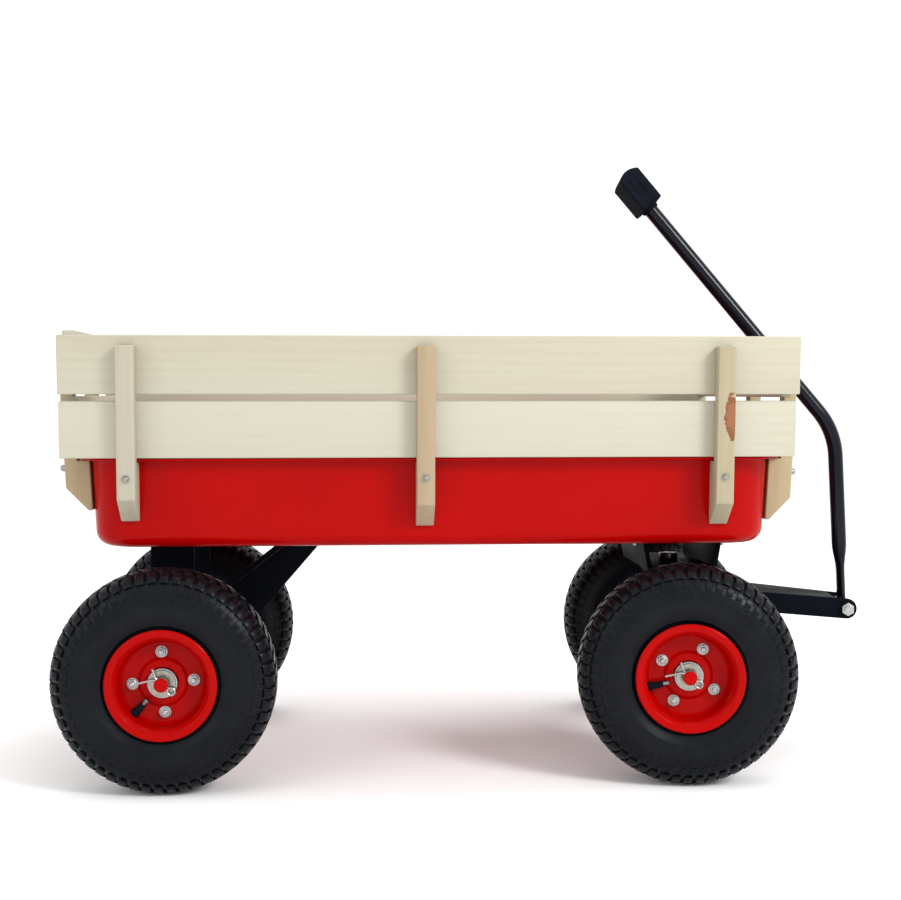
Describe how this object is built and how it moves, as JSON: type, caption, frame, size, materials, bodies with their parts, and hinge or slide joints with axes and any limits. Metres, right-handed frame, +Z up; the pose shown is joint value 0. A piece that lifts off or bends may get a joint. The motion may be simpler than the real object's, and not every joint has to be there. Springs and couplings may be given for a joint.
{
  "type": "garden wagon",
  "caption": "Pull-along wagon: pressed steel tray with slatted timber rails, steered front axle, pneumatic wheels and a folding T-handle.",
  "frame": {"origin": "middle of the footprint of the whole wagon, on the ground", "axes": "+X towards the handle end, +Z up"},
  "size_m": [1.0086, 0.5182, 0.7577],
  "materials": {
    "red_paint": "gloss enamel",
    "black_paint": "gloss powder coat",
    "pine": "sanded, clear sealed",
    "tyre": "matt moulded rubber",
    "zinc": "bright zinc plate",
    "black_plastic": "fine moulded texture"
  },
  "bodies": {
    "wagon_body": {"tray": "red_paint", "left_slat_lower": "pine", "left_slat_upper": "pine", "right_slat_lower": "pine", "right_slat_upper": "pine", "front_slat_lower": "pine", "front_slat_upper": "pine", "rear_slat_lower": "pine", "rear_slat_upper": "pine", "left_stake_rear": "pine", "left_stake_middle": "pine", "left_stake_front": "pine", "right_stake_rear": "pine", "right_stake_middle": "pine", "right_stake_front": "pine", "front_stake_left": "pine", "front_stake_middle": "pine", "front_stake_right": "pine", "rear_stake_left": "pine", "rear_stake_middle": "pine", "rear_stake_right": "pine", "rear_bracket": "black_paint", "rear_brace_left": "black_paint", "rear_brace_right": "black_paint", "rear_axle": "zinc", "rear_right_axle_washer": "zinc", "rear_left_axle_washer": "zinc", "front_bolster": "black_paint", "king_bolt": "zinc", "thrust_washer": "zinc"},
    "steering": {"steering_bracket": "black_paint", "front_axle": "zinc", "tongue": "black_paint", "hinge_bolt": "zinc", "front_right_axle_washer": "zinc", "front_left_axle_washer": "zinc"},
    "handle": {"handle_tube": "black_paint", "handle_grip": "black_plastic"},
    "rear_right_wheel": {"rear_right_tyre": "tyre", "rear_right_rim_outer": "red_paint", "rear_right_rim_inner": "red_paint", "rear_right_hub": "zinc", "rear_right_valve_stem": "black_plastic"},
    "rear_left_wheel": {"rear_left_tyre": "tyre", "rear_left_rim_outer": "red_paint", "rear_left_rim_inner": "red_paint", "rear_left_hub": "zinc", "rear_left_valve_stem": "black_plastic"},
    "front_right_wheel": {"front_right_tyre": "tyre", "front_right_rim_outer": "red_paint", "front_right_rim_inner": "red_paint", "front_right_hub": "zinc", "front_right_valve_stem": "black_plastic"},
    "front_left_wheel": {"front_left_tyre": "tyre", "front_left_rim_outer": "red_paint", "front_left_rim_inner": "red_paint", "front_left_hub": "zinc", "front_left_valve_stem": "black_plastic"}
  },
  "joints": [
    {"name": "steer", "type": "hinge", "parent": "wagon_body", "child": "steering", "pos_m": [0.26054, 0, 0.23338], "axis": [0, 0, 1], "range_deg": [-13, 25]},
    {"name": "handle_fold", "type": "hinge", "parent": "steering", "child": "handle", "pos_m": [0.48828, -0.02394, 0.18088], "axis": [0.1045, 0.9945, 0], "range_deg": [0, 125]},
    {"name": "rear_right_wheel_spin", "type": "hinge", "parent": "wagon_body", "child": "rear_right_wheel", "pos_m": [-0.37446, -0.208, 0.12988], "axis": [0, 1, 0], "continuous": true},
    {"name": "rear_left_wheel_spin", "type": "hinge", "parent": "wagon_body", "child": "rear_left_wheel", "pos_m": [-0.37446, 0.208, 0.12988], "axis": [0, 1, 0], "continuous": true},
    {"name": "front_right_wheel_spin", "type": "hinge", "parent": "steering", "child": "front_right_wheel", "pos_m": [0.2388, -0.20686, 0.12988], "axis": [0.1045, 0.9945, 0], "continuous": true},
    {"name": "front_left_wheel_spin", "type": "hinge", "parent": "steering", "child": "front_left_wheel", "pos_m": [0.28228, 0.20686, 0.12988], "axis": [0.1045, 0.9945, 0], "continuous": true}
  ]
}
